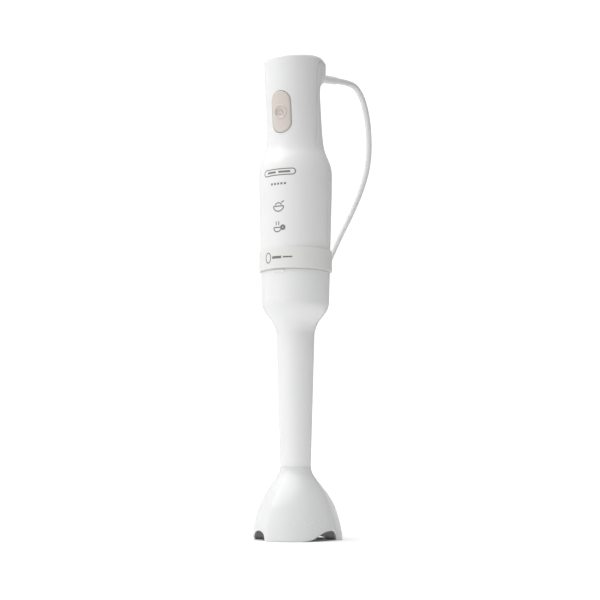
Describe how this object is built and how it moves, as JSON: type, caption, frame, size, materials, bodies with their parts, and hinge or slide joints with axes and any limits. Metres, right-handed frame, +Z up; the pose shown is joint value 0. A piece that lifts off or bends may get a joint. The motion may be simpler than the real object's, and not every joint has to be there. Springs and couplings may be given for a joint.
{
  "type": "immersion blender",
  "caption": "Hand-held immersion blender with a motor handle, thumb trigger, collar, lift-off blending bar and three-panel blade guard.",
  "frame": {"origin": "on the surface it stands on, below the axis of the bar", "axes": "+Z up along the bar, the trigger faces -Y, the cord leaves towards +Y"},
  "size_m": [0.1198, 0.2248, 0.3794],
  "materials": {
    "body_white": "gloss white moulding",
    "rear_white": "gloss white moulding",
    "collar_white": "slightly greyer white, satin",
    "bar_white": "gloss white moulding",
    "guard_white": "gloss white moulding",
    "trigger_grey": "soft warm grey",
    "cord_white": "flexible white jacket",
    "sleeve_white": "flexible white sleeve",
    "plug_white": "moulded plug",
    "plated_pins": "plated pins",
    "blade_steel": "ground stainless steel",
    "shaft_steel": "turned steel",
    "screw_steel": "zinc-plated steel",
    "spring_steel": "spring wire",
    "bronze": "sintered bronze",
    "seal_rubber": "black nitrile",
    "laminations": "pressed lamination stack",
    "copper": "enamelled copper",
    "carbon": "pressed carbon",
    "inner_white": "moulded nylon",
    "coupling_black": "glass-filled nylon",
    "board_green": "circuit board",
    "electric_black": "black electrical parts",
    "capacitor_blue": "blue film capacitor",
    "brush_brass": "brass tubes",
    "wire_brown": "insulated wire"
  },
  "bodies": {
    "blending_bar": {"bar_housing": "bar_white", "blade_guard": "guard_white", "shaft_support": "inner_white", "upper_bush": "bronze", "lower_bush": "bronze", "lip_seal": "seal_rubber", "seal_washer": "spring_steel"},
    "blade_spindle": {"blade_shaft": "shaft_steel", "retaining_clip": "shaft_steel", "driven_coupling": "coupling_black", "blade": "blade_steel", "blade_hub": "coupling_black", "blade_nut": "blade_steel"},
    "motor_unit": {"front_shell": "body_white", "rear_shell": "rear_white", "collar_ring": "collar_white", "coupling_guide": "inner_white", "microswitch": "electric_black", "circuit_board": "board_green", "board_screws": "screw_steel", "rectifier_diodes": "electric_black", "choke_coils": "copper", "suppression_capacitor": "capacitor_blue", "mains_leads": "wire_brown", "motor_leads": "wire_brown", "cord_clamp": "inner_white", "clamp_screws": "screw_steel", "strain_relief": "sleeve_white", "stator_stack": "laminations", "field_coils": "copper", "motor_bearing_lower": "shaft_steel", "motor_bearing_upper": "shaft_steel", "motor_bracket_lower": "inner_white", "motor_bracket_upper": "inner_white", "brush_holders": "brush_brass", "carbon_brushes": "carbon", "brush_springs": "spring_steel", "motor_damper_lower": "seal_rubber", "motor_damper_upper": "seal_rubber", "motor_screws": "screw_steel", "trigger_springs": "spring_steel", "power_cord": "cord_white", "cord_coil": "cord_white", "cord_tail": "cord_white", "plug_body": "plug_white", "plug_pins": "plated_pins"},
    "rotor": {"motor_shaft": "shaft_steel", "armature_core": "laminations", "armature_windings": "copper", "commutator": "copper", "cooling_fan": "inner_white", "drive_coupling": "coupling_black"},
    "trigger": {"trigger_button": "trigger_grey"},
    "plunger": {"switch_plunger": "electric_black"}
  },
  "joints": [
    {"name": "unit_release", "type": "slide", "parent": "blending_bar", "child": "motor_unit", "axis": [0, 0, 1], "range_m": [0, 0.03]},
    {"name": "motor_spin", "type": "hinge", "parent": "motor_unit", "child": "rotor", "pos_m": [0, 0, 0.25], "axis": [0, 0, 1], "continuous": true},
    {"name": "blade_spin", "type": "hinge", "parent": "blending_bar", "child": "blade_spindle", "pos_m": [0, 0, 0.1], "axis": [0, 0, 1], "continuous": true},
    {"name": "trigger_press", "type": "slide", "parent": "motor_unit", "child": "trigger", "axis": [0, 1, 0], "range_m": [0, 0.002], "stiffness_N_per_m": 900, "springref_m": -0.002, "deforming": ["trigger_springs"]},
    {"name": "plunger_press", "type": "slide", "parent": "motor_unit", "child": "plunger", "axis": [0, 1, 0], "range_m": [0, 0.002]}
  ],
  "couplings": [
    {"joint": "blade_spin", "follows": "motor_spin", "ratio": 1},
    {"joint": "plunger_press", "follows": "trigger_press", "ratio": 1}
  ]
}
